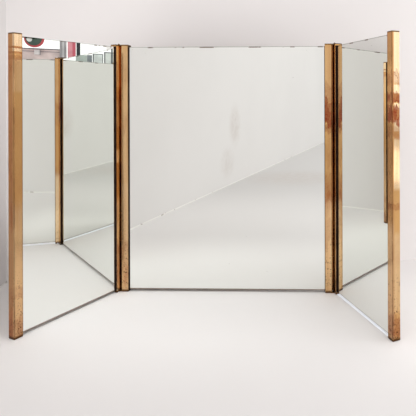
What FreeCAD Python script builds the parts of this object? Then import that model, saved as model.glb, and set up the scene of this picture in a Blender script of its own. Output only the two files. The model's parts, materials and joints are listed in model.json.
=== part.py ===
import FreeCAD, Part
import math
import os

# Trifold dressing-table mirror, in millimetres.  +Z is up and the mirrors face -Y.
# Three framed mirrors stand side by side.  Each is a glass and a backing board held
# in two upright brass channels.  A wing turns about pins in the top and bottom of its
# own hinge post, beside the centre mirror, and folds forward and in towards it.

V = FreeCAD.Vector
UP = V(0, 0, 1)

# ---- driving sizes -------------------------------------------------------------
POST_HEIGHT = 500.0        # the six upright channels stand on the table
CENTRE_WIDTH = 427.0       # over the outside of the centre mirror's two channels
WING_WIDTH = 219.5         # the same, for a wing
POST_FACE = 14.2           # width of a channel's front and rear flange
SHEET = 1.0                # thickness of the folded brass
BEND_INSIDE = 0.3          # inside radius of the folds
GLASS_THICKNESS = 4.0
BOARD_THICKNESS = 8.5
BOARD_PLAY = 0.5           # between the board and the rear flange
EDGE_PLAY = 0.5            # between a channel's web and the glass that it grips
GLASS_FOOT_GAP = 0.2       # from the lower pivot block up to the glass
GLASS_HEAD_GAP = 0.7       # from the glass up to the upper pivot block
CAP_THICKNESS = 1.8        # brass plate that closes each end of a channel
CAP_EASE = 0.4             # softened outer rim of a cap

# ---- the pivots ----------------------------------------------------------------
PIVOT_IN = 5.0             # from the web of a wing's hinge post in to the pin's axis
PIVOT_BACK = 3.0           # from the front faces back to the pin's axis
WEB_GAP = 0.6              # between the two webs when a wing is opened flat
LUG_RADIUS = 2.6           # rounded end of the arm that the pin turns in
LUG_PLAY = 0.2             # between that arm and the wing, up and down
LUG_SWEEP = 0.5            # between that arm and the walls of the wing's notch
PIN_RADIUS = 1.5
PIN_RUNNING_GAP = 0.05
PIN_FOOT = 0.3             # the lower pin ends this far above the table
HEAD_RADIUS = 2.2          # domed head of the upper pin
HEAD_HEIGHT = 2.0

# ---- the stop strips behind the hinge posts ---------------------------------------
STRIP_THICKNESS = 0.8
STRIP_LAND = 9.0           # width that lies on the centre channel's rear flange
STRIP_REACH = 12.0         # width that stands out behind the wing's post
STRIP_PLAY = 0.3           # behind the path of the wing's rear corner
STRIP_STEP = 1.5           # width over which the strip steps back behind that path
STRIP_END = 0.5            # from each end of the post to the end of the strip

# ---- countersunk wood screws through the rear flanges -------------------------------
SCREWS_PER_POST = 3
SCREW_HEAD_RADIUS = 2.5
SCREW_SHANK_RADIUS = 1.25
SCREW_TIP_GAP = 2.4        # from the back of the glass to the screw's point
SCREW_END = 45.0           # from each end of the post to the nearest screw
SLOT_WIDTH = 0.6
SLOT_DEPTH = 0.5

# ---- pose of the stored part: forward swing of each wing from flat ----------------------
SWING_DEG = {"left": 67.3, "right": 63.1}

# ---- worked out from the above -----------------------------------------------------
POST_DEPTH = 2 * SHEET + GLASS_THICKNESS + BOARD_THICKNESS + BOARD_PLAY
BEND_RADIUS = SHEET + BEND_INSIDE
GLASS_FRONT = SHEET
BOARD_FRONT = GLASS_FRONT + GLASS_THICKNESS
BLOCK_THICKNESS = 2 * CAP_THICKNESS + LUG_PLAY
GLASS_FOOT = BLOCK_THICKNESS + GLASS_FOOT_GAP
GLASS_TOP = POST_HEIGHT - BLOCK_THICKNESS - GLASS_HEAD_GAP
PIVOT_OUT = WEB_GAP + PIVOT_IN        # from the centre channel's web out to the axis
AXIS_X = CENTRE_WIDTH / 2 + PIVOT_OUT
INNER_EDGE = -PIVOT_IN                # wing: outside of the hinge post's web
OUTER_EDGE = INNER_EDGE + WING_WIDTH  # wing: outside of the free post's web
CORNER_SWEEP = BEND_RADIUS + math.hypot(
    INNER_EDGE + BEND_RADIUS, POST_DEPTH - PIVOT_BACK - BEND_RADIUS)
STRIP_FRONT = CORNER_SWEEP + PIVOT_BACK + STRIP_PLAY

# A wing folds forward until its front meets the rounded corner of the centre post.
# The centre of that rounding lies this far in from the pin's axis and in front of it.
BEND_IN = PIVOT_OUT + BEND_RADIUS
BEND_AHEAD = PIVOT_BACK - BEND_RADIUS
FOLD = math.atan2(BEND_IN, BEND_AHEAD) + math.acos(
    (PIVOT_BACK + BEND_RADIUS) / math.hypot(BEND_IN, BEND_AHEAD))
ARM_LEAN = FOLD - math.pi / 2         # of the arm from straight ahead, seen from the wing
NOTCH_SIDE = PIVOT_BACK * math.tan(ARM_LEAN) + (LUG_RADIUS + LUG_SWEEP) / math.cos(ARM_LEAN)


def box(x0, x1, y0, y1, z0, z1):
    return Part.makeBox(x1 - x0, y1 - y0, z1 - z0, V(x0, y0, z0))


def moved(shape, x=0.0, y=0.0, z=0.0):
    result = shape.copy()
    result.translate(V(x, y, z))
    return result


def mirrored_x(shape):
    return shape.mirror(V(0, 0, 0), V(1, 0, 0))


def mirrored_z(shape):
    """The same piece for the other end of a post."""
    return shape.mirror(V(0, 0, POST_HEIGHT / 2), UP)


def upright_edges(shape, x):
    """The vertical edges of a shape that lie at one x."""
    return [e for e in shape.Edges
            if abs(e.BoundBox.XMin - x) < 1e-6
            and abs(e.BoundBox.XMax - x) < 1e-6
            and e.BoundBox.ZLength > 1e-3
            and e.BoundBox.YLength < 1e-6]


def post_outline(z0, z1):
    """A solid post: square at its open side, rounded where the sheet is folded (x = 0)."""
    bar = box(0, POST_FACE, 0, POST_DEPTH, z0, z1)
    return bar.makeFillet(BEND_RADIUS, upright_edges(bar, 0))


# ---- pieces of a framed mirror -------------------------------------------------------
# A post is drawn with the outside of its web at x = 0, opening towards +X, with its
# front flange at y = 0.

def channel(z0, z1):
    """Folded U-section that grips the edge of the glass and its board."""
    hollow = box(SHEET, POST_FACE + 1, SHEET, POST_DEPTH - SHEET, z0 - 1, z1 + 1)
    hollow = hollow.makeFillet(BEND_RADIUS - SHEET, upright_edges(hollow, SHEET))
    return post_outline(z0, z1).cut(hollow)


def end_cap(thickness):
    """Plate on the top end of a channel, with its outer rim softened."""
    cap = post_outline(POST_HEIGHT - thickness, POST_HEIGHT)
    rim = [e for e in cap.Edges if abs(e.BoundBox.ZMin - POST_HEIGHT) < 1e-6]
    return cap.makeChamfer(CAP_EASE, rim)


def sheet_between(x0, x1, front, thickness):
    """A flat sheet held between the webs at x0 and x1."""
    inset = SHEET + EDGE_PLAY
    return box(x0 + inset, x1 - inset, front, front + thickness, GLASS_FOOT, GLASS_TOP)


def screw(x, z, rear_face):
    """Countersunk wood screw, its head flush with a rear face and its point forward."""
    sink = SCREW_HEAD_RADIUS - SCREW_SHANK_RADIUS
    tip = BOARD_FRONT + SCREW_TIP_GAP
    profile = Part.makePolygon([
        V(0, tip, 0),
        V(SCREW_SHANK_RADIUS, tip + 2 * SCREW_SHANK_RADIUS, 0),
        V(SCREW_SHANK_RADIUS, rear_face - sink, 0),
        V(SCREW_HEAD_RADIUS, rear_face, 0),
        V(0, rear_face, 0),
        V(0, tip, 0)])
    body = Part.Face(profile).revolve(V(0, 0, 0), V(0, 1, 0), 360)
    return moved(body, x=x, z=z)


def slotted(body, x, z, rear_face):
    slot = box(x - SCREW_HEAD_RADIUS, x + SCREW_HEAD_RADIUS, rear_face - SLOT_DEPTH,
               rear_face + 1, z - SLOT_WIDTH / 2, z + SLOT_WIDTH / 2)
    return body.cut(slot)


def screw_heights():
    span = POST_HEIGHT - 2 * SCREW_END
    return [SCREW_END + span * i / (SCREWS_PER_POST - 1) for i in range(SCREWS_PER_POST)]


def screw_row(x, rear_face):
    """The screws of one post: what they cut away, and the slotted screws themselves."""
    sunk = [screw(x, z, rear_face) for z in screw_heights()]
    finished = [slotted(s, x, z, rear_face) for s, z in zip(sunk, screw_heights())]
    return sunk, finished


def without(shape, tools):
    for tool in tools:
        shape = shape.cut(tool)
    return shape


# ---- pieces of a pivot ------------------------------------------------------------------
# Drawn for the right-hand pivot, with the pin's axis at x = 0, inside the wing's hinge
# post: the centre mirror is to its left and the wing, opened flat, to its right.

def about_pin(radius, z0, z1):
    return Part.makeCylinder(radius, z1 - z0, V(0, PIVOT_BACK, z0))


def drilled(shape, play):
    return shape.cut(about_pin(PIN_RADIUS + play, -1, POST_HEIGHT + 1))


def hinge_cap():
    """Top cap of a centre post, with a round-ended arm that reaches out over the end
    of the wing's hinge post to take the pin."""
    z0 = POST_HEIGHT - CAP_THICKNESS
    plate = moved(mirrored_x(end_cap(CAP_THICKNESS)), x=-PIVOT_OUT)
    arm = box(-PIVOT_OUT - BEND_RADIUS, 0, PIVOT_BACK - LUG_RADIUS,
              PIVOT_BACK + LUG_RADIUS, z0, POST_HEIGHT)
    lug = about_pin(LUG_RADIUS, z0, POST_HEIGHT)
    return drilled(plate.fuse([arm, lug]).removeSplitter(), PIN_RUNNING_GAP)


def pivot_block():
    """Top end of a wing's hinge post: a block that holds the pin, notched so that the
    centre's arm clears it at every angle."""
    floor = POST_HEIGHT - BLOCK_THICKNESS + CAP_THICKNESS
    back = PIVOT_BACK + LUG_RADIUS + LUG_SWEEP
    block = moved(end_cap(BLOCK_THICKNESS), x=INNER_EDGE)
    notch = box(INNER_EDGE - 1, NOTCH_SIDE, -1, back, floor, POST_HEIGHT + 1)
    return drilled(block.cut(notch), 0)


def domed_head(seat):
    """Low dome over the pin, a cap of a sphere, resting at one height."""
    sphere_radius = (HEAD_RADIUS ** 2 + HEAD_HEIGHT ** 2) / (2 * HEAD_HEIGHT)
    centre = V(0, PIVOT_BACK, seat + HEAD_HEIGHT - sphere_radius)
    ball = Part.makeSphere(sphere_radius, centre)
    return ball.common(about_pin(2 * HEAD_RADIUS, seat, seat + 2 * HEAD_HEIGHT))


def top_pin():
    """Pin fixed in the wing's block, turning in the centre's arm, with a domed head."""
    seat = POST_HEIGHT + LUG_PLAY
    shank = about_pin(PIN_RADIUS, POST_HEIGHT - BLOCK_THICKNESS, seat)
    return shank.fuse(domed_head(seat)).removeSplitter()


def bottom_pin():
    return about_pin(PIN_RADIUS, PIN_FOOT, BLOCK_THICKNESS)


def stop_strip():
    """Stepped brass strip on the rear of a centre post, drawn with the web at x = 0
    and the wing on the +X side.  It stops the wing at flat and closes the gap."""
    back = POST_DEPTH
    points = [
        (-STRIP_LAND, back), (-STRIP_STEP, back), (0, STRIP_FRONT), (STRIP_REACH, STRIP_FRONT),
        (STRIP_REACH, STRIP_FRONT + STRIP_THICKNESS), (0, STRIP_FRONT + STRIP_THICKNESS),
        (-STRIP_STEP, back + STRIP_THICKNESS), (-STRIP_LAND, back + STRIP_THICKNESS)]
    outline = [V(x, y, STRIP_END) for x, y in points]
    face = Part.Face(Part.makePolygon(outline + outline[:1]))
    return face.extrude(V(0, 0, POST_HEIGHT - 2 * STRIP_END))


# ---- the centre mirror -------------------------------------------------------------------

def centre_pieces():
    half = CENTRE_WIDTH / 2
    screw_x = half - (STRIP_LAND + STRIP_STEP) / 2
    sunk, finished = screw_row(screw_x, POST_DEPTH + STRIP_THICKNESS)
    both_sunk = sunk + [mirrored_x(s) for s in sunk]
    both_finished = finished + [mirrored_x(s) for s in finished]

    board = sheet_between(-half, half, BOARD_FRONT, BOARD_THICKNESS)
    post = channel(CAP_THICKNESS, POST_HEIGHT - CAP_THICKNESS)
    right_post = without(moved(mirrored_x(post), x=half), sunk)
    right_strip = without(moved(stop_strip(), x=half), sunk)
    right_cap = moved(hinge_cap(), x=AXIS_X)

    pieces = {
        "center_mirror_glass": sheet_between(-half, half, GLASS_FRONT, GLASS_THICKNESS),
        "center_backing_board": without(board, both_sunk),
        "center_stop_strip_screws": Part.makeCompound(both_finished)}
    for side, on_side in (("right", moved), ("left", mirrored_x)):
        pieces["center_%s_channel" % side] = on_side(right_post)
        pieces["center_%s_stop_strip" % side] = on_side(right_strip)
        pieces["center_%s_top_hinge_cap" % side] = on_side(right_cap)
        pieces["center_%s_bottom_hinge_cap" % side] = on_side(mirrored_z(right_cap))
    return pieces


# ---- a wing --------------------------------------------------------------------------------
# Drawn as the right wing opened flat, running out along +X from the pin's axis at x = 0.

def wing_pieces():
    inner_sunk, inner_screws = screw_row(INNER_EDGE + POST_FACE / 2, POST_DEPTH)
    outer_sunk, outer_screws = screw_row(OUTER_EDGE - POST_FACE / 2, POST_DEPTH)

    board = sheet_between(INNER_EDGE, OUTER_EDGE, BOARD_FRONT, BOARD_THICKNESS)
    inner_post = moved(channel(BLOCK_THICKNESS, POST_HEIGHT - BLOCK_THICKNESS), x=INNER_EDGE)
    outer_post = channel(CAP_THICKNESS, POST_HEIGHT - CAP_THICKNESS)
    outer_post = moved(mirrored_x(outer_post), x=OUTER_EDGE)
    outer_cap = moved(mirrored_x(end_cap(CAP_THICKNESS)), x=OUTER_EDGE)
    block = pivot_block()

    return {
        "mirror_glass": sheet_between(INNER_EDGE, OUTER_EDGE, GLASS_FRONT, GLASS_THICKNESS),
        "backing_board": without(board, inner_sunk + outer_sunk),
        "backing_screws": Part.makeCompound(inner_screws + outer_screws),
        "inner_channel": without(inner_post, inner_sunk),
        "outer_channel": without(outer_post, outer_sunk),
        "outer_top_cap": outer_cap,
        "outer_bottom_cap": mirrored_z(outer_cap),
        "top_pivot_block": block,
        "bottom_pivot_block": mirrored_z(block),
        "top_pivot_pin": top_pin(),
        "bottom_pivot_pin": bottom_pin()}


def placed_wing(shape, side):
    """Swing a wing piece forward about the pin and set it at its side of the centre."""
    pin = V(0, PIVOT_BACK, 0)
    if side == "left":
        result = mirrored_x(shape)
        result.rotate(pin, UP, SWING_DEG[side])
        return moved(result, x=-AXIS_X)
    result = shape.copy()
    result.rotate(pin, UP, -SWING_DEG[side])
    return moved(result, x=AXIS_X)


# ---- the whole mirror ------------------------------------------------------------------------

def all_pieces():
    pieces = centre_pieces()
    flat_wing = wing_pieces()
    for side in ("left", "right"):
        for name, shape in flat_wing.items():
            pieces["%s_wing_%s" % (side, name)] = placed_wing(shape, side)
    return pieces


def main():
    os.makedirs("parts", exist_ok=True)
    pieces = all_pieces()
    # The origin is the middle of the footprint, on the table.
    extent = Part.makeCompound(list(pieces.values())).optimalBoundingBox(False)
    for name, shape in pieces.items():
        shape.translate(V(-extent.Center.x, -extent.Center.y, -extent.ZMin))
        shape.exportStep("parts/%s.step" % name)
    print("pieces", len(pieces))
    print("centre mirror's front is at", -extent.Center.x, -extent.Center.y)
    print("size", extent.XLength, extent.YLength, extent.ZLength)
    print("a wing folds forward by up to", math.degrees(FOLD), "degrees")


main()
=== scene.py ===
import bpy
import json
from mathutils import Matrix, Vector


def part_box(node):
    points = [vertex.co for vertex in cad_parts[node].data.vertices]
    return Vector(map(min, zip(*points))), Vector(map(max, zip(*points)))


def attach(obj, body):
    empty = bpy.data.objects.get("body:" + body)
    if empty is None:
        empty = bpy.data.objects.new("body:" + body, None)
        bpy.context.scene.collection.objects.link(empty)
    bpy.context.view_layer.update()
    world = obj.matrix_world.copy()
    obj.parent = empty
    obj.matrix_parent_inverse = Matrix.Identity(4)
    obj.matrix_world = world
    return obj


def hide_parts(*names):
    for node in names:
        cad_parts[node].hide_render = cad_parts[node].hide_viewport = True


bl_info = {
    "name": "Trifold Vanity Mirror",
    "version": (1, 0, 0),
    "blender": (4, 5, 0),
    "location": "3D View > Sidebar > Mirror",
    "description": "Finishes a brass-framed trifold mirror in the corner of a pale room",
    "category": "Object",
}

import json
import math
from dataclasses import dataclass

import bmesh
import bpy
from bpy.props import FloatProperty, FloatVectorProperty, PointerProperty
from bpy.types import Operator, Panel, PropertyGroup
from mathutils import Matrix, Vector

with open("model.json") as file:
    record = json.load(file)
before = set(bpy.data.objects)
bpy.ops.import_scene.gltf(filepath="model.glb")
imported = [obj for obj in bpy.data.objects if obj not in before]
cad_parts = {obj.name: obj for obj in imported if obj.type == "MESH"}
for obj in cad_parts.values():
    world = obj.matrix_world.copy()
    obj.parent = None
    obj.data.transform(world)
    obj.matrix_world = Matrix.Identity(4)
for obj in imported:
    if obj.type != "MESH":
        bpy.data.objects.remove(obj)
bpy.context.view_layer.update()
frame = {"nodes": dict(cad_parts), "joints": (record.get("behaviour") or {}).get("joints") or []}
NODES = frame["nodes"]
JOINTS = {joint["child"]: joint for joint in frame["joints"]}

CENTRE = "center_mirror"
GLASS_NODES = {
    CENTRE: "center_mirror_glass",
    "left_wing": "left_wing_mirror_glass",
    "right_wing": "right_wing_mirror_glass"}
CHANNEL_NODES = {
    CENTRE: ("center_left_channel", "center_right_channel"),
    "left_wing": ("left_wing_inner_channel", "left_wing_outer_channel"),
    "right_wing": ("right_wing_inner_channel", "right_wing_outer_channel")}
POST_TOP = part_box("left_wing_outer_top_cap")[1][2]

# The camera's view, in pixels: its side, the focal length, and the point straight ahead
# of the camera, counted from the top left corner.
IMAGE_PX = 416.0
FOCAL_LENGTH_PX = 480.81
CENTRE_PX = (328.09, 95.99)

RIGHT = Vector((1.0, 0.0, 0.0))
FORWARD = Vector((0.0, -1.0, 0.0))  # the way that the centre mirror faces
UP = Vector((0.0, 0.0, 1.0))


# ---- places worked out from the frame --------------------------------------------------

def unfolding(body):
    """Turns a piece of the body from the stored pose to lying flat beside the centre."""
    joint = JOINTS.get(body)
    if joint is None:
        return Matrix.Identity(4)
    pin = Vector(joint["pos_m"])
    flat = math.radians(joint["range_deg"][0])
    turn = Matrix.Rotation(flat, 4, Vector(joint["axis"]))
    return Matrix.Translation(pin) @ turn @ Matrix.Translation(-pin)


def flat_box(body, node):
    """Lowest and highest corners of a node with its body lying flat."""
    to_flat = unfolding(body)
    corners = [to_flat @ vertex.co for vertex in NODES[node].data.vertices]
    lowest = Vector([min(c[i] for c in corners) for i in range(3)])
    highest = Vector([max(c[i] for c in corners) for i in range(3)])
    return lowest, highest


def front_edges(body, channel):
    """The upright front edges of a channel in the stored pose, its lip first."""
    low, high = flat_box(body, channel)
    glass_low, glass_high = flat_box(body, GLASS_NODES[body])
    middle = (glass_low.x + glass_high.x) / 2
    across = sorted((low.x, high.x), key=lambda x: abs(x - middle))
    refold = unfolding(body).inverted()
    return [refold @ Vector((x, low.y, 0.0)) for x in across]


def centre_front():
    """The point on the table in the middle of the centre mirror's front plane."""
    low, high = flat_box(CENTRE, GLASS_NODES[CENTRE])
    post_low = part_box(CHANNEL_NODES[CENTRE][0])[0]
    return Vector(((low.x + high.x) / 2, post_low[1], 0.0))


def silver_front(body, glass_index):
    """Where the silvering of a flat-lying glass seems to be, seen through the glass."""
    low, high = flat_box(body, GLASS_NODES[body])
    return low.y + (high.y - low.y) / glass_index


# ---- what a user may change ------------------------------------------------------------

class MirrorSizes(PropertyGroup):
    """Sizes of the glass and its bedding"""
    glass_index: FloatProperty(
        name="Refractive index",
        description="By this the silvering looks nearer through the glass",
        default=1.52, min=1.0)
    arris: FloatProperty(
        name="Arris", description="Width of the ground edge of the glass",
        default=0.0003, min=0.0, subtype="DISTANCE", unit="LENGTH")
    bedding_proud: FloatProperty(
        name="Bedding proud", description="How far the bedding shows past the channel's lip",
        default=0.0009, subtype="DISTANCE", unit="LENGTH")


def colour(label, text, value):
    """A colour that a user may change."""
    return FloatVectorProperty(
        name=label, description=text, subtype="COLOR", size=3, min=0.0, max=1.0, default=value)


class MirrorFinishes(PropertyGroup):
    """Colours of the mirror and the room"""
    brass: colour("Brass", "Clean brass", (0.70, 0.412, 0.165))
    # Polish and highlight: paler burnished brass, also the colour of the painted highlights.
    polish_and_highlight: colour("Polish and highlight", "Rubbed, paler brass", (0.985, 0.775, 0.50))
    # Tarnish and shade: the brown bloom, also the colour of the painted shade on the posts' webs
    # and fronts.
    tarnish_and_shade: colour("Tarnish and shade", "Brown bloom on the brass", (0.40, 0.145, 0.055))
    stain: colour("Stain", "Red-brown stains on the brass", (0.27, 0.050, 0.020))
    # Grime and shade: the colour of the dark spots and the soiled foot, also of the painted
    # shade along the fold and the lip, just above the table and at the very top.
    grime_and_shade: colour("Grime and shade", "Dark spots and dirty ends of the brass", (0.07, 0.03, 0.012))
    silver: colour("Silver", "Tint of the silvered glass", (0.905, 0.92, 0.895))
    haze: colour("Haze", "Faint yellow haze on the silver", (0.80, 0.79, 0.72))
    # Foxing and shadow: the colour of the foxed specks, also of the painted shadow along the
    # glass's foot.
    foxing_and_shadow: colour("Foxing and shadow", "Specks where the silver has failed", (0.16, 0.10, 0.07))
    glass_edge: colour("Glass edge", "Ground edge of the glass", (0.22, 0.30, 0.26))
    # Glass grain and highlight: the pale grain of the ground edge, also standing for the edge's
    # highlight.
    glass_grain_and_highlight: colour("Glass grain and highlight", "Pale grain of the ground edge", (0.42, 0.50, 0.46))
    back_paint: colour("Back paint", "Paint over the silver", (0.11, 0.07, 0.05))
    back_cloud: colour("Back cloud", "Paler clouds in that paint", (0.17, 0.11, 0.08))
    bedding: colour("Bedding", "Black bedding inside the channels", (0.010, 0.004, 0.003))
    bedding_grain: colour("Bedding grain", "Grain of the bedding", (0.020, 0.008, 0.006))
    board: colour("Board", "Stained backing board", (0.115, 0.060, 0.030))
    pores: colour("Pores", "Dark pores of the board", (0.03, 0.017, 0.01))
    water_mark: colour("Water mark", "Pale water marks on the board", (0.27, 0.18, 0.11))
    wall: colour("Wall", "Painted side wall", (0.80, 0.775, 0.765))
    rear_wall: colour("Rear wall", "Painted rear wall", (0.88, 0.85, 0.842))
    floor: colour("Floor", "Painted floor", (0.79, 0.767, 0.760))
    # Painted light: the floor's paint is paler near the mirror, standing for the light that the
    # mirrors throw on it.
    floor_lit_near_mirror: colour("Floor lit near the mirror", "Paler floor close to the mirror", (0.965, 0.945, 0.935))
    smudge: colour("Smudge", "Tan smudges on the wall and floor", (0.50, 0.42, 0.37))
    bead: colour("Bead", "Cream bead along the foot of the wall", (0.93, 0.91, 0.88))
    crumb: colour("Crumb", "Dark crumbs in the bead", (0.45, 0.40, 0.36))
    streak: colour("Streak", "Floor in the streak of light", (0.9, 0.92, 0.95))
    streak_glow: colour("Streak glow", "Colour of that light", (0.80, 0.88, 1.0))
    sunlit: colour("Sunlit floor", "Floor in the sunlit patch", (0.9, 0.88, 0.86))
    sun_glow: colour("Sun glow", "Colour of the sunlight", (1.0, 0.95, 0.88))


class MirrorStage(PropertyGroup):
    """The camera, the room's corner and its light"""
    camera_right: FloatProperty(
        name="Camera right", description="Camera's distance to the right of the middle",
        default=0.2304, subtype="DISTANCE", unit="LENGTH")
    camera_front: FloatProperty(
        name="Camera front", description="Camera's distance in front of the centre mirror",
        default=0.9628, subtype="DISTANCE", unit="LENGTH")
    camera_height: FloatProperty(
        name="Camera height", description="Camera's height above the table",
        default=0.395, subtype="DISTANCE", unit="LENGTH")
    camera_yaw: FloatProperty(
        name="Camera yaw", description="Turn of the camera to the left",
        default=math.radians(1.449), subtype="ANGLE", unit="ROTATION")
    camera_roll: FloatProperty(
        name="Camera roll", description="Tilt of the camera to one side",
        default=math.radians(0.158), subtype="ANGLE", unit="ROTATION")
    corner_turn: FloatProperty(
        name="Corner turn", description="Turn of the room's corner against the mirror",
        default=math.radians(10.2), subtype="ANGLE", unit="ROTATION")
    side_wall: FloatProperty(
        name="Side wall", description="From the middle left to the side wall, along the mirror",
        default=0.472, subtype="DISTANCE", unit="LENGTH")
    back_wall: FloatProperty(
        name="Back wall", description="From the middle back to the rear wall",
        default=0.128, subtype="DISTANCE", unit="LENGTH")
    world_light: FloatProperty(
        name="Room light", description="Strength of the even light of the room",
        default=1.33, min=0.0)
    front_light: FloatProperty(
        name="Front light", description="Power of the soft light from the front, in watts",
        default=3.0, min=0.0, unit="POWER")
    corner_light: FloatProperty(
        name="Corner light", description="Power of the light into the room's corner, in watts",
        default=0.17, min=0.0, unit="POWER")
    wall_light: FloatProperty(
        name="Wall light", description="Power of the light on the wall at the right, in watts",
        default=0.15, min=0.0, unit="POWER")
    streak_light: FloatProperty(
        name="Streak light", description="Strength of the streak under the right wing",
        default=0.52, min=0.0)
    sun_light: FloatProperty(
        name="Sunlight", description="Strength of the sunlit patch of the floor",
        default=0.5, min=0.0)


# ---- small tools for materials ---------------------------------------------------------

# The Mix node has sockets of one name for each kind of value; these are its colours.
MIX_FIRST, MIX_SECOND, MIX_RESULT = 6, 7, 2
BAND_CORE = 0.8  # the share of a band's half height that is at full strength


class Recipe:
    """A material's nodes, added one after another."""

    def __init__(self, name):
        self.material = bpy.data.materials.new(name)
        self.material.use_nodes = True
        self.tree = self.material.node_tree
        self.shader = self.tree.nodes["Principled BSDF"]

    def node(self, kind, inputs=None, **settings):
        """Adds a node with its settings, and feeds its inputs."""
        made = self.tree.nodes.new(kind)
        for key, value in settings.items():
            setattr(made, key, value)
        for key, value in (inputs or {}).items():
            self.feed(made.inputs[key], value)
        return made

    def feed(self, socket, value):
        """Links another node's output to a socket, or sets the socket's own value."""
        if isinstance(value, bpy.types.NodeSocket):
            self.tree.links.new(value, socket)
        else:
            socket.default_value = value

    def place(self, scale=(1, 1, 1)):
        """Object coordinates, stretched along each axis."""
        coordinates = self.node("ShaderNodeTexCoord").outputs["Object"]
        mapping = self.node("ShaderNodeMapping", {"Vector": coordinates, "Scale": scale})
        return mapping.outputs["Vector"]

    def noise(self, scale, detail=3.0, stretch=(1, 1, 1), roughness=0.55, distortion=0.0):
        made = self.node("ShaderNodeTexNoise", {
            "Vector": self.place(stretch), "Scale": scale, "Detail": detail,
            "Roughness": roughness, "Distortion": distortion})
        return made.outputs["Fac"]

    def between(self, value, low, high, to_low=0.0, to_high=1.0):
        """Goes smoothly from to_low to to_high as the value goes from low to high."""
        made = self.node("ShaderNodeMapRange", {
            "Value": value, "From Min": low, "From Max": high,
            "To Min": to_low, "To Max": to_high}, interpolation_type="SMOOTHSTEP")
        return made.outputs["Result"]

    def as_share(self, value, at_none, at_full):
        """Turns a value from 0 to 1 into one between two others."""
        return self.between(value, 0.0, 1.0, at_none, at_full)

    def maths(self, operation, first, second):
        made = self.node("ShaderNodeMath", {0: first, 1: second}, operation=operation)
        return made.outputs["Value"]

    def plus(self, first, second):
        return self.maths("ADD", first, second)

    def times(self, first, second):
        return self.maths("MULTIPLY", first, second)

    def mix(self, share, first, second):
        """Mixes two colours."""
        made = self.node("ShaderNodeMix", data_type="RGBA")
        self.feed(made.inputs["Factor"], share)
        self.feed(made.inputs[MIX_FIRST], first)
        self.feed(made.inputs[MIX_SECOND], second)
        return made.outputs[MIX_RESULT]

    def height(self):
        """Height above the table."""
        place = self.node("ShaderNodeTexCoord").outputs["Object"]
        return self.node("ShaderNodeSeparateXYZ", {"Vector": place}).outputs["Z"]

    def band(self, height, middle, half):
        """1 at one height, fading to 0 by half a band above and below it."""
        away = self.maths("ABSOLUTE", self.maths("SUBTRACT", height, middle), 0.0)
        return self.between(away, half * BAND_CORE, half, 1.0, 0.0)

    def away_from(self, point, stretch=(1, 1, 0)):
        """Distance from a point, or with no stretch in height from an upright line."""
        level = self.place(stretch)
        middle = tuple(part * share for part, share in zip(point, stretch))
        made = self.node("ShaderNodeVectorMath", {0: level, 1: middle}, operation="DISTANCE")
        return made.outputs["Value"]

    def most(self, first, *others):
        """The largest of several values."""
        for other in others:
            first = self.maths("MAXIMUM", first, other)
        return first

    def bump(self, height, strength, distance):
        made = self.node("ShaderNodeBump", {
            "Height": height, "Strength": strength, "Distance": distance})
        self.feed(self.shader.inputs["Normal"], made.outputs["Normal"])

    def finish(self, **sockets):
        """Sets the shader's sockets, named with _ for a space, and gives the material."""
        for key, value in sockets.items():
            self.feed(self.shader.inputs[key.replace("_", " ")], value)
        return self.material


def rgba(value):
    """A colour with nothing see-through about it."""
    return (value[0], value[1], value[2], 1.0)


# ---- finishes --------------------------------------------------------------------------

FRONT, WEB = 0, 1  # the sides of a post that a burnished place or painted highlight can be on


@dataclass
class WearAndShade:
    """How brown a post is on its front flange and on its web, which is partly its brown bloom
    and partly painted shade, most on the webs that face into the crevices beside the hinges and
    on the left outer post's web; how soiled its foot is; its stains, each with a height, half a
    height and an amount; and its burnished places, some of them painted highlights, which also
    say whether they are on the front flange or on the web. Heights in metres."""
    front: float = 0.0
    web: float = 0.0
    foot: float = 0.15
    stains: tuple = ()
    rubbed_and_highlit: tuple = ()


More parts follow.
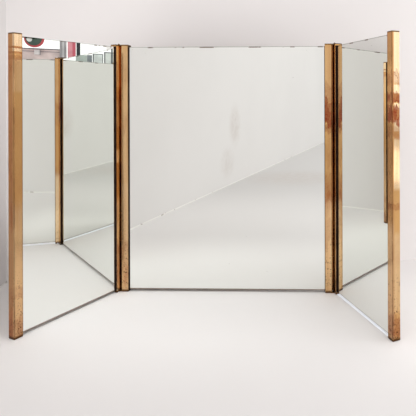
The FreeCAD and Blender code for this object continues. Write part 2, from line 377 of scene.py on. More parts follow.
# Painted shade and highlights: the web values of the posts beside the hinges and of the left
# outer post darken them as shade falls in the crevices and a dark wall is reflected; the narrow
# pale bands high on the left outer post's front and on the right outer post's web are painted
# highlights.
POST_WEAR_AND_SHADE = {
    "left_wing_outer_channel": WearAndShade(
        front=0.34, web=0.76, foot=1.3,
        stains=((0.4760, 0.0018, 0.8), (0.4675, 0.0020, 0.6), (0.459, 0.004, 0.5),
                (0.074, 0.010, 0.35), (0.012, 0.022, 0.6)),
        rubbed_and_highlit=((0.488, 0.011, 1.0, FRONT), (0.472, 0.003, 0.9, FRONT),
                (0.43, 0.03, 0.3, FRONT), (0.08, 0.15, 0.4, FRONT),
                (0.14, 0.10, 0.25, WEB))),
    "left_wing_inner_channel": WearAndShade(
        front=0.10, web=0.8, foot=0.2,
        stains=((0.375, 0.03, 0.4), (0.04, 0.04, 0.4)),
        rubbed_and_highlit=((0.46, 0.05, 0.5, FRONT), (0.275, 0.014, 1.0, FRONT),
                (0.36, 0.03, 0.4, FRONT), (0.08, 0.12, 0.85, FRONT))),
    "center_left_channel": WearAndShade(
        front=0.0, web=0.8, foot=0.15,
        stains=((0.44, 0.02, 0.15),),
        rubbed_and_highlit=((0.30, 0.22, 0.35, FRONT), (0.10, 0.14, 0.5, FRONT))),
    "center_right_channel": WearAndShade(
        front=0.04, web=0.8, foot=0.15,
        stains=((0.362, 0.027, 1.4), (0.402, 0.018, 0.6), (0.327, 0.009, 0.8),
                (0.27, 0.02, 0.25), (0.205, 0.03, 0.45), (0.12, 0.03, 0.3)),
        rubbed_and_highlit=((0.44, 0.06, 0.2, FRONT), (0.08, 0.12, 0.35, FRONT))),
    "right_wing_inner_channel": WearAndShade(
        front=0.12, web=0.8, foot=0.15,
        stains=((0.35, 0.05, 0.2),),
        rubbed_and_highlit=((0.08, 0.12, 0.85, FRONT), (0.45, 0.08, 0.2, FRONT))),
    "right_wing_outer_channel": WearAndShade(
        front=0.48, web=0.04, foot=1.3,
        stains=((0.421, 0.013, 0.7), (0.392, 0.008, 1.2), (0.364, 0.017, 1.4),
                (0.336, 0.009, 0.6), (0.215, 0.006, 0.7), (0.024, 0.016, 0.8)),
        rubbed_and_highlit=((0.46, 0.05, 0.9, WEB), (0.406, 0.008, 1.0, WEB), (0.378, 0.006, 0.9, WEB),
                (0.347, 0.010, 0.9, WEB), (0.285, 0.045, 1.0, WEB), (0.11, 0.07, 0.4, WEB),
                (0.08, 0.12, 0.4, FRONT)))}

# Where the brass darkens, in metres, each from the first value to the second. The fold and lip
# lines and the darkening just above the table are painted shade; the foot's soiled band and the
# spots are real marks.
FOLD_LINE = (0.0009, 0.0021)  # away from a post's folded front edge
LIP_LINE = (0.0004, 0.0014)  # away from the lip of its front flange
WEB_STARTS = 0.0008  # past the folded edge, over which the front's tone turns to the web's
FOOT_END = (0.0020, 0.0070)  # above the table
TOP_END = (POST_TOP - 0.0028, POST_TOP - 0.0014)
FOOT_DIRT = (0.0, 0.050)
SPOTTED = (0.02, 0.16)
RAGGED = 0.55  # how far a stain's edges stray, as a share of its half height


def aged_brass(name, finishes, bloom=0.56, roughness=0.08, wear_and_shade=None, edges=()):
    """Bright brass with a brown bloom, wipe marks, stains, spots and a soiled foot, with painted
    shade in the brown of its fronts and webs, along its folded edge and lip and just above the
    table, darker at its very top, and with painted highlights among its burnished bands. The
    lower the bloom, the more of the brass is brown. The edges are the upright front edges of a
    post, its lip first."""
    recipe = Recipe(name)
    wear_and_shade = wear_and_shade or WearAndShade()

    # Unevenness, from broad patches to fine crumbs, each from 0 to 1.
    patches = recipe.noise(9.0, detail=5.0, stretch=(1, 1, 0.55), distortion=0.6)
    patches = recipe.between(patches, bloom, bloom + 0.16)
    wipes = recipe.between(recipe.noise(160.0, detail=4.0, stretch=(1, 1, 0.03)), 0.35, 0.75)
    cloud = recipe.between(recipe.noise(42.0, detail=6.0, stretch=(1, 1, 0.4)), 0.3, 0.8)
    blots = recipe.between(recipe.noise(85.0, detail=5.0, stretch=(1, 1, 0.5)), 0.36, 0.58)
    spots = recipe.between(recipe.noise(420.0, detail=2.0), 0.60, 0.68)
    crumbs = recipe.between(recipe.noise(330.0, detail=5.0, roughness=0.7), 0.54, 0.62)
    height = recipe.height()

    # Painted shade: how brown the front and the web are, darkest on the webs in the crevices.
    shade = wear_and_shade.front
    lines = 0.0
    on_web = 0.0
    if edges:
        lip, fold = (recipe.away_from(edge) for edge in edges)
        face = (edges[0] - edges[1]).length
        on_web = recipe.between(lip, face, face + WEB_STARTS)
        shade = recipe.as_share(on_web, wear_and_shade.front, wear_and_shade.web)
        # Painted shade along the folded edge and along the lip.
        lines = recipe.most(recipe.between(fold, *FOLD_LINE, 0.75, 0.0),
                            recipe.between(lip, *LIP_LINE, 0.6, 0.0))
        lines = recipe.times(lines, recipe.as_share(cloud, 0.5, 1.0))

    stains = 0.0
    ragged = recipe.plus(recipe.as_share(blots, -0.35, 0.35),
                         recipe.as_share(wipes, -0.65, 0.65))
    for middle, half, amount in wear_and_shade.stains:
        uneven = recipe.plus(height, recipe.times(ragged, half * RAGGED))
        band = recipe.times(recipe.band(uneven, middle, half), amount)
        stains = recipe.most(band, stains)
    stains = recipe.times(stains, recipe.as_share(blots, 0.62, 1.0))
    stains = recipe.times(stains, recipe.as_share(crumbs, 0.6, 1.1))

    # Burnished bands, some of them painted highlights.
    rubbed_and_highlit = 0.0
    for middle, half, amount, side in wear_and_shade.rubbed_and_highlit:
        here = recipe.as_share(on_web, 1.0 - side, side)
        band = recipe.times(recipe.band(height, middle, half), amount)
        rubbed_and_highlit = recipe.most(recipe.times(band, here), rubbed_and_highlit)
    rubbed_and_highlit = recipe.times(rubbed_and_highlit, recipe.as_share(wipes, 1.0, 0.6))

    # Painted shadow just above the table, where the post stands, and a darker very top.
    ends = recipe.most(recipe.between(height, *FOOT_END, 1.0, 0.0),
                       recipe.between(height, *TOP_END, 0.0, 0.95))
    foot = recipe.times(recipe.between(height, *FOOT_DIRT, wear_and_shade.foot, 0.0),
                        recipe.as_share(blots, 0.35, 1.0))
    low = recipe.between(height, *SPOTTED, 1.0, 0.1)
    dirt_and_shade = recipe.most(recipe.times(spots, low), ends, lines,
                       recipe.times(foot, recipe.as_share(crumbs, 0.1, 1.0)))

    bloomed = recipe.times(patches, recipe.as_share(cloud, 0.45, 1.0))
    wiped = recipe.times(wipes, 0.22)
    clouded = recipe.times(recipe.as_share(cloud, 0.7, 1.2), shade)
    brown = recipe.most(bloomed, wiped, clouded, recipe.times(foot, 0.35))
    clean = recipe.mix(rubbed_and_highlit, rgba(finishes.brass), rgba(finishes.polish_and_highlight))
    tone = recipe.mix(brown, clean, rgba(finishes.tarnish_and_shade))
    tone = recipe.mix(stains, tone, rgba(finishes.stain))
    tone = recipe.mix(recipe.times(dirt_and_shade, 0.92), tone, rgba(finishes.grime_and_shade))
    dull = recipe.most(brown, stains)
    rough = recipe.between(recipe.plus(dull, dirt_and_shade), 0.1, 1.3, roughness, 0.40)
    recipe.bump(recipe.plus(cloud, wipes), 0.05, 0.0002)
    return recipe.finish(Base_Color=tone, Metallic=1.0, Roughness=rough)


# Bands of old silvering and of painted shadow, in metres from the glass's own foot or top edge:
# the band along the foot is painted shadow.
FOXED_EDGE = (0.004, 0.03)
FOOT_SHADOW = (0.0012, 0.0032)
TOP_LINE = (0.0010, 0.0020)
TOP_DASHES = (0.0018, 0.0030)


def silvering(name, finishes, foot, top, foot_shadow=0.95):
    """Old silvered glass: nearly clear, with foxed specks that gather at the edges, a painted
    shadow along its foot and brown dashes along its top. foot and top are the heights of its
    edges, and the last argument says how dark that painted shadow along the foot is."""
    recipe = Recipe(name)
    specks = recipe.between(recipe.noise(260.0, detail=2.0), 0.76, 0.80)
    field = recipe.between(recipe.noise(7.0, detail=3.0), 0.50, 0.66)
    height = recipe.height()

    def above_foot(band, strength):
        return recipe.between(height, foot + band[0], foot + band[1], strength, 0.0)

    def below_top(band, strength):
        return recipe.between(height, top - band[1], top - band[0], 0.0, strength)

    where = recipe.most(field, above_foot(FOXED_EDGE, 1.0), below_top(FOXED_EDGE, 1.0))
    foxed = recipe.times(specks, where)
    dashes = recipe.between(recipe.noise(26.0, detail=5.0, stretch=(1, 1, 0)), 0.51, 0.56)
    dashes = recipe.times(dashes, below_top(TOP_DASHES, 0.9))
    # Painted shadow along the foot, with a dark line and dashes along the top.
    rim = recipe.most(below_top(TOP_LINE, 0.45), above_foot(FOOT_SHADOW, foot_shadow), dashes)
    haze = recipe.between(recipe.noise(5.0, detail=4.0), 0.3, 0.8, 0.0, 0.05)
    tone = recipe.mix(haze, rgba(finishes.silver), rgba(finishes.haze))
    tone = recipe.mix(recipe.most(foxed, rim), tone, rgba(finishes.foxing_and_shadow))
    rough = recipe.as_share(foxed, 0.0, 0.5)
    return recipe.finish(Base_Color=tone, Metallic=1.0, Roughness=rough)


def ground_glass_edge(finishes):
    """Green-grey glass, ground matt, with pale grain that is partly a painted highlight."""
    recipe = Recipe("ground glass edge")
    grain = recipe.noise(900.0, detail=3.0)
    tone = recipe.mix(recipe.between(grain, 0.35, 0.7), rgba(finishes.glass_edge),
                      rgba(finishes.glass_grain_and_highlight))
    recipe.bump(grain, 0.2, 0.0001)
    return recipe.finish(Base_Color=tone, Roughness=0.38)


def backing_paint(finishes):
    """The brown paint over the silver, on the back of the glass."""
    recipe = Recipe("backing paint")
    cloud = recipe.noise(30.0, detail=5.0)
    tone = recipe.mix(recipe.between(cloud, 0.3, 0.7), rgba(finishes.back_paint),
                      rgba(finishes.back_cloud))
    return recipe.finish(Base_Color=tone, Roughness=0.7)


def black_bedding(finishes):
    """Old black bedding, dull and grainy."""
    recipe = Recipe("black bedding")
    grain = recipe.noise(700.0, detail=4.0)
    tone = recipe.mix(recipe.between(grain, 0.3, 0.7), rgba(finishes.bedding),
                      rgba(finishes.bedding_grain))
    recipe.bump(grain, 0.3, 0.0002)
    return recipe.finish(Base_Color=tone, Roughness=0.85, Specular_IOR_Level=0.1)


def stained_board(finishes):
    """Dark stained plywood: upright figure, fine pores and a few water marks."""
    recipe = Recipe("stained board")
    figure = recipe.noise(11.0, detail=5.0, stretch=(3.0, 3.0, 0.35), distortion=1.2)
    pores = recipe.noise(420.0, detail=3.0, stretch=(1, 1, 0.05))
    marks = recipe.between(recipe.noise(5.5, detail=5.0), 0.52, 0.68)
    grain = recipe.between(figure, 0.35, 0.68)
    lighter = tuple(min(1.0, part * 2.1) for part in finishes.board)
    tone = recipe.mix(grain, rgba(finishes.board), rgba(lighter))
    tone = recipe.mix(recipe.between(pores, 0.55, 0.75, 0.0, 0.6), tone,
                      rgba(finishes.pores))
    tone = recipe.mix(recipe.times(marks, 0.35), tone, rgba(finishes.water_mark))
    recipe.bump(pores, 0.15, 0.0003)
    rough = recipe.between(figure, 0.3, 0.7, 0.45, 0.62)
    return recipe.finish(Base_Color=tone, Roughness=rough)


def plain_paint(name, tone):
    """Slightly cloudy paint for the things in the room."""
    recipe = Recipe(name)
    cloud = recipe.between(recipe.noise(14.0, detail=3.0), 0.35, 0.7)
    darker = tuple(part * 0.75 for part in tone)
    return recipe.finish(Base_Color=recipe.mix(cloud, rgba(tone), rgba(darker)), Roughness=0.6)


def bead_paint(finishes):
    """Cream filler along the foot of the wall, with dark crumbs in it."""
    recipe = Recipe("bead paint")
    crumbs = recipe.between(recipe.noise(26.0, detail=4.0), 0.60, 0.66)
    tone = recipe.mix(crumbs, rgba(finishes.bead), rgba(finishes.crumb))
    return recipe.finish(Base_Color=tone, Roughness=0.6)


# Painted light on the floor: its paint is palest near the middle, where the mirrors throw light,
# and darker far from it, where less light falls: distances in metres, counted shorter along the
# mirror, and the darker paint's share of the paint's colour.
LIT_NEAR_STRETCH = (0.35, 1, 0)
LIT_NEAR = (0.06, 0.32)
DIMMER_FAR = (0.45, 1.1)
DIMMER_FAR_SHARE = 0.79
SMUDGE_CORE = 0.2  # the share of a smudge's reach that is at full strength


def one_way_paint(name, finishes, tone, mottle, pale=None, around=None, smudges=()):
    """Matt paint on the side that faces the mirror; clear when seen from outside.
    The mottle is how much darker its clouds are. It may be paler around one place, and
    have tan smudges, each with a place, its stretch, a reach and an amount."""
    recipe = Recipe(name)
    cloud = recipe.between(recipe.noise(1.6, detail=4.0), 0.35, 0.7)
    fine = recipe.noise(35.0, detail=5.0)
    darker = tuple(part * (1.0 - mottle) for part in tone)
    paint = recipe.mix(cloud, rgba(tone), rgba(darker))
    # Painted light: paler near the mirror, where the mirrors throw light, and darker far from
    # it.
    if pale:
        away = recipe.away_from(around, LIT_NEAR_STRETCH)
        dimmer_far = tuple(part * DIMMER_FAR_SHARE for part in tone)
        paint = recipe.mix(recipe.between(away, *DIMMER_FAR), paint, rgba(dimmer_far))
        paint = recipe.mix(recipe.between(away, *LIT_NEAR, 1.0, 0.0), paint, rgba(pale))
    for place, stretch, reach, amount in smudges:
        away = recipe.away_from(place, stretch)
        share = recipe.between(away, reach * SMUDGE_CORE, reach, amount, 0.0)
        share = recipe.times(share, recipe.between(fine, 0.35, 0.6, 0.5, 1.0))
        paint = recipe.mix(share, paint, rgba(finishes.smudge))
    recipe.bump(fine, 0.15, 0.002)
    recipe.finish(Base_Color=paint, Roughness=0.6, Specular_IOR_Level=0.25)
    clear = recipe.node("ShaderNodeBsdfTransparent")
    outside = recipe.node("ShaderNodeNewGeometry").outputs["Backfacing"]
    join = recipe.node("ShaderNodeMixShader", {
        0: outside, 1: recipe.shader.outputs["BSDF"], 2: clear.outputs["BSDF"]})
    output = recipe.tree.nodes["Material Output"]
    recipe.tree.links.new(join.outputs["Shader"], output.inputs["Surface"])
    return recipe.material


# ---- pieces ----------------------------------------------------------------------------

def dress(node, material):
    """Gives a CAD node one material."""
    slots = NODES[node].data.materials
    slots.clear()
    slots.append(material)


def dress_all(endings, material):
    """Gives one material to every CAD node whose name ends in one of these ways."""
    for node in NODES:
        if node.endswith(endings):
            dress(node, material)


def sheet_mesh(low, high, arris):
    """A sheet between two corners, with its edges ground to a small arris."""
    mesh = bmesh.new()
    bmesh.ops.create_cube(mesh, size=1.0)
    size = high - low
    bmesh.ops.scale(mesh, vec=size, verts=mesh.verts)
    bmesh.ops.translate(mesh, vec=(low + high) / 2, verts=mesh.verts)
    if arris > 0.0:
        bmesh.ops.bevel(mesh, geom=mesh.edges[:], offset=arris, segments=1, profile=0.5,
                        affect="EDGES", material=-1)
    return mesh


def finished_piece(mesh, name, body, materials):
    """Folds a flat-drawn mesh back to the stored pose and hangs it on its body."""
    bmesh.ops.transform(mesh, matrix=unfolding(body).inverted(), verts=mesh.verts)
    bmesh.ops.recalc_face_normals(mesh, faces=mesh.faces)
    data = bpy.data.meshes.new(name)
    mesh.to_mesh(data)
    mesh.free()
    for material in materials:
        data.materials.append(material)
    piece = bpy.data.objects.new(name, data)
    bpy.context.scene.collection.objects.link(piece)
    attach(piece, body)
    return piece


# The slots of a glass's materials, and how squarely a face must point forwards or back
# to be its silvered front or its painted back.
SILVERED, GROUND, PAINTED = 0, 1, 2
SQUARELY = 0.9


class MIRROR_OT_glass(Operator):
    """Silvered sheets with ground edges and painted backs"""
    bl_idname = "mirror.glass"
    bl_label = "Mirror glass"

    def execute(self, context):
        sizes = context.scene.mirror_sizes
        finishes = context.scene.mirror_finishes
        edge, paint = ground_glass_edge(finishes), backing_paint(finishes)
        glass_low, glass_high = flat_box(CENTRE, GLASS_NODES[CENTRE])
        dark = silvering("silvered glass", finishes, glass_low.z, glass_high.z)
        # The right wing's glass gets a fainter painted shadow at its foot, where light passes
        # under it.
        pale = silvering("silvered glass, pale foot", finishes, glass_low.z, glass_high.z,
                         foot_shadow=0.3)
        for body, node in GLASS_NODES.items():
            materials = [pale if body == "right_wing" else dark, edge, paint]
            low, high = flat_box(body, node)
            low.y = silver_front(body, sizes.glass_index)
            mesh = sheet_mesh(low, high, sizes.arris)
            for face in mesh.faces:
                if face.normal.y < -SQUARELY:
                    face.material_index = SILVERED
                elif face.normal.y > SQUARELY:
                    face.material_index = PAINTED
                else:
                    face.material_index = GROUND
            piece = finished_piece(mesh, node + "_silvered", body, materials)
            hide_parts(node)
        return {"FINISHED"}


class MIRROR_OT_bedding(Operator):
    """Black bedding between each front flange and the glass"""
    bl_idname = "mirror.bedding"
    bl_label = "Bedding"

    def execute(self, context):
        sizes = context.scene.mirror_sizes
        proud = sizes.bedding_proud
        material = black_bedding(context.scene.mirror_finishes)
        for body, channels in CHANNEL_NODES.items():
            glass_low, glass_high = flat_box(body, GLASS_NODES[body])
            silver = silver_front(body, sizes.glass_index)
            for channel in channels:
                low, high = flat_box(body, channel)
                x_low = max(low.x - proud, glass_low.x)
                x_high = min(high.x + proud, glass_high.x)
                mesh = sheet_mesh(Vector((x_low, glass_low.y, glass_low.z)),
                                  Vector((x_high, silver, glass_high.z)), 0.0)
                piece = finished_piece(mesh, channel + "_bedding", body, [material])
        return {"FINISHED"}


class MIRROR_OT_brass(Operator):
    """Aged brass on the channels, caps, blocks and strips"""
    bl_idname = "mirror.brass"
    bl_label = "Brass finish"

    def execute(self, context):
        finishes = context.scene.mirror_finishes
        ends = aged_brass("aged brass", finishes)
        # The stop strips' brass is browner, as bloom and as painted shade deep in the crevices
        # behind the hinges.
        strips = aged_brass("tarnished brass", finishes, bloom=0.22, roughness=0.24)
        dress_all(("_cap", "_block"), ends)
        dress_all(("_stop_strip",), strips)
        for body, channels in CHANNEL_NODES.items():
            for node in channels:
                name = "brass of " + node.replace("_", " ")
                dress(node, aged_brass(name, finishes, wear_and_shade=POST_WEAR_AND_SHADE[node],
                                       edges=front_edges(body, node)))
        return {"FINISHED"}


class MIRROR_OT_fittings(Operator):
    """Turned brass for the pins and the screws"""
    bl_idname = "mirror.fittings"
    bl_label = "Pins and screws"

    def execute(self, context):
        finishes = context.scene.mirror_finishes
        material = aged_brass("turned brass", finishes, bloom=0.45, roughness=0.2)
        dress_all(("_pin", "_screws"), material)
        return {"FINISHED"}


class MIRROR_OT_boards(Operator):
    """Stained backing boards"""
    bl_idname = "mirror.boards"
    bl_label = "Backing boards"

    def execute(self, context):
        dress_all(("_backing_board",), stained_board(context.scene.mirror_finishes))
        return {"FINISHED"}


# ---- the room --------------------------------------------------------------------------

# What stands far to the right, on two upright screens: one beyond the rear wall, measured
# backwards, and one in front, measured forwards. Name, screen, nearest distance and
# lowest height, farthest distance and highest height, in metres, and colour.
REAR, AHEAD = 0, 1
FAR_DISTANCE = 2.5
FAR_STEP = 0.002  # each thing stands this much nearer than the one before
FAR_THINGS = (
    ("far_ledge", REAR, -0.230, 0.600, 0.000, 0.722, (0.70, 0.58, 0.56)),
    ("far_beam_top", REAR, -0.230, 0.716, 0.014, 0.722, (0.10, 0.09, 0.11)),
    ("far_beam_foot", REAR, -0.230, 0.699, 0.010, 0.703, (0.22, 0.19, 0.21)),
    # far_bracket_side is the bracket's side in painted shade.
    ("far_bracket", REAR, -0.158, 0.680, -0.122, 0.712, (0.78, 0.76, 0.76)),
    ("far_bracket_side", REAR, -0.126, 0.678, -0.120, 0.712, (0.35, 0.33, 0.34)),
    # far_pillar is darker than far_pillar_face in front of it: painted shade on the pillar's
    # sides.
    ("far_pillar", REAR, -0.008, 0.600, 0.034, 1.000, (0.36, 0.35, 0.36)),
    ("far_pillar_face", REAR, 0.008, 0.600, 0.018, 1.000, (0.62, 0.61, 0.62)),
    ("far_curtain", REAR, 0.040, 0.600, 0.090, 1.000, (0.72, 0.30, 0.34)),
    # far_curtain_fold is painted shade in the curtain's fold.
    ("far_curtain_fold", REAR, 0.070, 0.600, 0.090, 1.000, (0.55, 0.11, 0.15)),
    ("far_door_edge", REAR, 0.094, 0.680, 0.118, 1.000, (0.02, 0.025, 0.03)),
    ("far_cupboard", AHEAD, 0.663, 0.600, 0.737, 0.692, (0.46, 0.53, 0.50)),
    ("far_box", AHEAD, 0.737, 0.600, 0.771, 0.694, (0.24, 0.27, 0.29)),
    ("far_frame", AHEAD, 0.775, 0.600, 0.846, 0.706, (0.12, 0.14, 0.15)),
    ("far_pane", AHEAD, 0.781, 0.600, 0.840, 0.701, (0.80, 0.86, 0.85)),
    ("far_tall_frame", AHEAD, 0.852, 0.600, 0.960, 0.722, (0.16, 0.17, 0.18)),
    ("far_tall_pane", AHEAD, 0.860, 0.600, 0.960, 0.715, (0.75, 0.80, 0.78)),
    ("far_post", AHEAD, 0.900, 0.600, 0.912, 0.760, (0.14, 0.15, 0.16)))
# The wheels stand before all of them. Name, screen, distance and height of the middle,
# radius, and colour.
WHEEL_LEAD = 0.04
FAR_WHEELS = (
    ("far_wheel_rim", REAR, -0.158, 0.782, 0.058, (0.50, 0.07, 0.08)),
    ("far_wheel", REAR, -0.161, 0.784, 0.047, (0.05, 0.085, 0.065)),
    # far_wheel_shine is a painted highlight on the wheel.
    ("far_wheel_shine", REAR, -0.186, 0.776, 0.016, (0.70, 0.72, 0.70)),
    ("far_wheel_hub", REAR, -0.152, 0.800, 0.012, (0.55, 0.58, 0.56)))

# The room, in metres: how far its floor reaches in front of the corner, to the right and
# behind it, the height of the walls, the length of the rear wall, and the bead of filler
# along the foot of the side wall.
ROOM_FRONT, ROOM_RIGHT, ROOM_BEHIND = 8.0, 8.0, 4.0
WALL_HEIGHT = 3.2
REAR_WALL_LENGTH = 0.99
BEAD_HEIGHT = 0.0042
BEAD_PROUD = 0.001

# Places on the floor and the side wall, from the middle of the mirror's foot: the middle
# of the painted pool of light, and the smudges with their stretch, reach and amount.
LIT_NEAR_MIDDLE = (-0.05, -0.10, 0.0)
FLOOR_SMUDGES = (
    ((0.02, -1.36, 0.0), (0.8, 1, 1), 0.28, 0.30),)
WALL_SMUDGES = (
    ((-0.25, -1.22, 0.26), (1, 0.7, 0.5), 0.06, 0.35),
    ((-0.27, -1.14, 0.10), (1, 0.7, 0.8), 0.07, 0.25))

# The streak of light under the right wing: how far behind the front and the back of the
# glass its sides lie, and its height above the floor.
STREAK_FRONT, STREAK_BACK = 0.0022, 0.007
STREAK_LIFT = 0.0004

# The sunlit patch: its distance is counted along it from a place beside the right wing,
# which is given from the middle of the mirror's foot.
SUN_FROM = (0.32, -0.20, 0.001)
SUN_ALONG = (0.87, -0.49, 0.0)
SUN_ACROSS = (0.49, 0.87, 0.0)
SUN_DISTANCE, SUN_LENGTH, SUN_HALF_WIDTH = 1.45, 1.35, 0.3

# Each soft light's place and target, from the middle of the mirror's foot, its width and
# height, and its spread in degrees. Its power is the stage's value of the same name.
LAMPS = {
    "front_light": ((0.7, -2.0, 1.7), (0.0, -0.1, 0.1), 1.8, 1.4, 180.0),
    "corner_light": ((0.10, -0.30, 1.20), (-0.48, 0.03, 0.15), 0.15, 0.15, 30.0),
    "wall_light": ((0.90, -0.20, 1.10), (0.46, 0.20, 0.15), 0.2, 0.2, 50.0)}

DISC_SIDES = 48


def from_origin(origin, smudges):
    """The smudges with their places counted from the scene's origin."""
    return [(origin + Vector(place), *rest) for place, *rest in smudges]


def stage_plane(name, corners, material):
    """A flat piece of the room, facing where its corners are seen to run anticlockwise."""
    mesh = bmesh.new()
    mesh.faces.new([mesh.verts.new(corner) for corner in corners])
    data = bpy.data.meshes.new(name)
    mesh.to_mesh(data)
    mesh.free()
    data.materials.append(material)
    piece = bpy.data.objects.new(name, data)
    bpy.context.scene.collection.objects.link(piece)


def stage_disc(name, middle, across, radius, material):
    """An upright round disc in the room."""
    turns = [math.tau * step / DISC_SIDES for step in range(DISC_SIDES)]
    rim = [middle + (across * math.cos(turn) + UP * math.sin(turn)) * radius
           for turn in turns]
    stage_plane(name, rim, material)


def glowing_paint(name, tone, glow, strength):
    """Paint for a lit part of the floor, which glows a little."""
    return Recipe(name).finish(Base_Color=rgba(tone), Roughness=0.6,
                               Emission_Color=rgba(glow), Emission_Strength=strength)


def soft_light(name, place, target, width, height, power, spread):
    """A rectangular lamp that points at its target."""
    lamp = bpy.data.lights.new(name, "AREA")
    lamp.shape = "RECTANGLE"
    lamp.size = width
    lamp.size_y = height
    lamp.energy = power
    lamp.spread = spread
    piece = bpy.data.objects.new(name, lamp)
    piece.location = place
    piece.rotation_euler = (target - place).to_track_quat("-Z", "Y").to_euler()
    bpy.context.scene.collection.objects.link(piece)


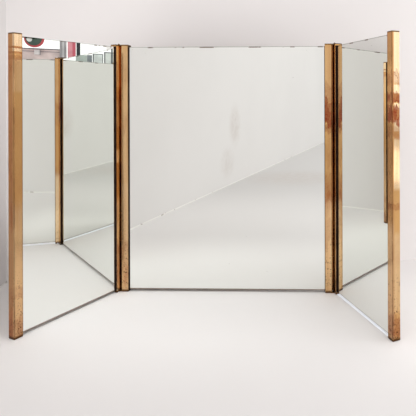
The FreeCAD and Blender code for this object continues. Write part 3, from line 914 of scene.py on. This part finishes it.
class MIRROR_OT_stage(Operator):
    """Floor, two walls, soft light and the camera"""
    bl_idname = "mirror.stage"
    bl_label = "Room and camera"

    def streak(self, stage, finishes):
        """The streak of light on the floor along the foot of the right wing's glass."""
        low, high = flat_box("right_wing", GLASS_NODES["right_wing"])
        refold = unfolding("right_wing").inverted()
        near, far = low.y + STREAK_FRONT, high.y + STREAK_BACK
        corners = [refold @ Vector((x, y, STREAK_LIFT)) for x, y in (
            (low.x, near), (high.x, near), (high.x, far), (low.x, far))]
        stage_plane("light_streak", corners, glowing_paint(
            "streak of light", finishes.streak, finishes.streak_glow, stage.streak_light))

    def sunlight(self, stage, finishes, origin):
        """A sunlit patch of the floor on the right, which shows in the brass."""
        along = Vector(SUN_ALONG)
        across = Vector(SUN_ACROSS) * SUN_HALF_WIDTH
        near = origin + Vector(SUN_FROM) + along * SUN_DISTANCE
        far = near + along * SUN_LENGTH
        corners = (near - across, far - across, far + across, near + across)
        stage_plane("sunlit_patch", corners, glowing_paint(
            "sunlit floor", finishes.sunlit, finishes.sun_glow, stage.sun_light))

    def furnish_far_room(self, screens):
        """Things far to the right, of which only slivers show, in the wings and the brass.
        Each screen has its foot, the way along it and the way towards the mirror."""
        for order, (name, screen, near, low, far, high, tone) in enumerate(FAR_THINGS):
            foot, across, nearer = screens[screen]
            foot = foot + nearer * (FAR_STEP * order)
            corners = [foot + across * distance + UP * height for distance, height in (
                (near, low), (far, low), (far, high), (near, high))]
            stage_plane(name, corners, plain_paint(name + " paint", tone))
        for order, (name, screen, distance, height, radius, tone) in enumerate(FAR_WHEELS):
            foot, across, nearer = screens[screen]
            lead = WHEEL_LEAD + FAR_STEP * order
            middle = foot + across * distance + UP * height + nearer * lead
            stage_disc(name, middle, across, radius, plain_paint(name + " paint", tone))

    def build_room(self, stage, finishes, origin):
        """The corner of the room with its floor and bead, and what stands far to the right."""
        turn = stage.corner_turn
        along = Vector((math.cos(turn), math.sin(turn), 0.0))
        ahead = Vector((math.sin(turn), -math.cos(turn), 0.0))
        side = origin - RIGHT * stage.side_wall
        back = origin - FORWARD * stage.back_wall
        reach = (back - side).dot(-ahead)
        corner = side - ahead * reach
        up = UP * WALL_HEIGHT
        wall = one_way_paint("wall paint", finishes, finishes.wall, 0.03,
                             smudges=from_origin(origin, WALL_SMUDGES))
        rear = one_way_paint("rear wall paint", finishes, finishes.rear_wall, 0.02)
        # The floor's paint is paler near the mirror and darker far off: painted light.
        ground = one_way_paint("floor paint", finishes, finishes.floor, 0.02,
                               pale=finishes.floor_lit_near_mirror,
                               around=origin + Vector(LIT_NEAR_MIDDLE),
                               smudges=from_origin(origin, FLOOR_SMUDGES))
        far_side = corner + ahead * ROOM_FRONT
        far_back = corner + along * REAR_WALL_LENGTH
        stage_plane("side_wall", (far_side, corner, corner + up, far_side + up), wall)
        stage_plane("back_wall", (corner, far_back, far_back + up, corner + up), rear)
        stage_plane("floor", (
            far_side, far_side + along * ROOM_RIGHT,
            corner + along * ROOM_RIGHT - ahead * ROOM_BEHIND,
            corner - ahead * ROOM_BEHIND), ground)

        bead_top = UP * BEAD_HEIGHT
        bead = (far_side, corner, corner + bead_top, far_side + bead_top)
        stage_plane("wall_bead", [point + along * BEAD_PROUD for point in bead],
                    bead_paint(finishes))

        self.furnish_far_room((
            (back + along * FAR_DISTANCE, -ahead, -along),
            (origin + RIGHT * FAR_DISTANCE, FORWARD, -RIGHT)))

    def light_room(self, scene, stage, origin):
        """The soft lights, and the even light of the room."""
        for name, (place, target, width, height, spread) in LAMPS.items():
            soft_light(name, origin + Vector(place), origin + Vector(target), width, height,
                       getattr(stage, name), math.radians(spread))
        world = bpy.data.worlds.new("room")
        world.use_nodes = True
        background = world.node_tree.nodes["Background"]
        background.inputs["Color"].default_value = (1.0, 1.0, 1.0, 1.0)
        background.inputs["Strength"].default_value = stage.world_light
        scene.world = world

    def place_camera(self, scene, stage, origin):
        """The camera, with the lens shift that keeps upright edges upright."""
        lens = bpy.data.cameras.new("camera")
        lens.lens = lens.sensor_width * FOCAL_LENGTH_PX / IMAGE_PX
        lens.shift_x = (IMAGE_PX / 2 - CENTRE_PX[0]) / IMAGE_PX
        lens.shift_y = (CENTRE_PX[1] - IMAGE_PX / 2) / IMAGE_PX
        camera = bpy.data.objects.new("camera", lens)
        camera.location = origin + Vector((
            stage.camera_right, -stage.camera_front, stage.camera_height))
        camera.rotation_euler = (math.pi / 2, stage.camera_roll, stage.camera_yaw)
        scene.collection.objects.link(camera)
        scene.camera = camera

    def execute(self, context):
        scene = context.scene
        stage = scene.mirror_stage
        finishes = scene.mirror_finishes
        origin = centre_front()
        self.build_room(stage, finishes, origin)
        self.streak(stage, finishes)
        self.sunlight(stage, finishes, origin)
        self.light_room(scene, stage, origin)
        self.place_camera(scene, stage, origin)
        scene.view_settings.view_transform = "Standard"
        return {"FINISHED"}


class MIRROR_PT_panel(Panel):
    """Lists the mirror's pieces and finishes"""
    bl_idname = "MIRROR_PT_panel"
    bl_label = "Trifold Mirror"
    bl_space_type = "VIEW_3D"
    bl_region_type = "UI"
    bl_category = "Mirror"

    def draw(self, context):
        column = self.layout.column()
        for operator in OPERATORS:
            column.operator(operator.bl_idname)
        for group in (context.scene.mirror_sizes, context.scene.mirror_finishes,
                      context.scene.mirror_stage):
            for key in group.__annotations__:
                column.prop(group, key)


OPERATORS = (
    MIRROR_OT_glass, MIRROR_OT_bedding, MIRROR_OT_brass, MIRROR_OT_fittings,
    MIRROR_OT_boards, MIRROR_OT_stage)
GROUPS = (MirrorSizes, MirrorFinishes, MirrorStage)
CLASSES = GROUPS + OPERATORS + (MIRROR_PT_panel,)


def register():
    for item in CLASSES:
        bpy.utils.register_class(item)
    bpy.types.Scene.mirror_sizes = PointerProperty(type=MirrorSizes)
    bpy.types.Scene.mirror_finishes = PointerProperty(type=MirrorFinishes)
    bpy.types.Scene.mirror_stage = PointerProperty(type=MirrorStage)


def unregister():
    del bpy.types.Scene.mirror_stage
    del bpy.types.Scene.mirror_finishes
    del bpy.types.Scene.mirror_sizes
    for item in reversed(CLASSES):
        bpy.utils.unregister_class(item)


def main():
    """Makes the pieces, their finishes and the room."""
    register()
    bpy.ops.mirror.glass()
    bpy.ops.mirror.bedding()
    bpy.ops.mirror.brass()
    bpy.ops.mirror.fittings()
    bpy.ops.mirror.boards()
    bpy.ops.mirror.stage()


if __name__ == "__main__":
    main()
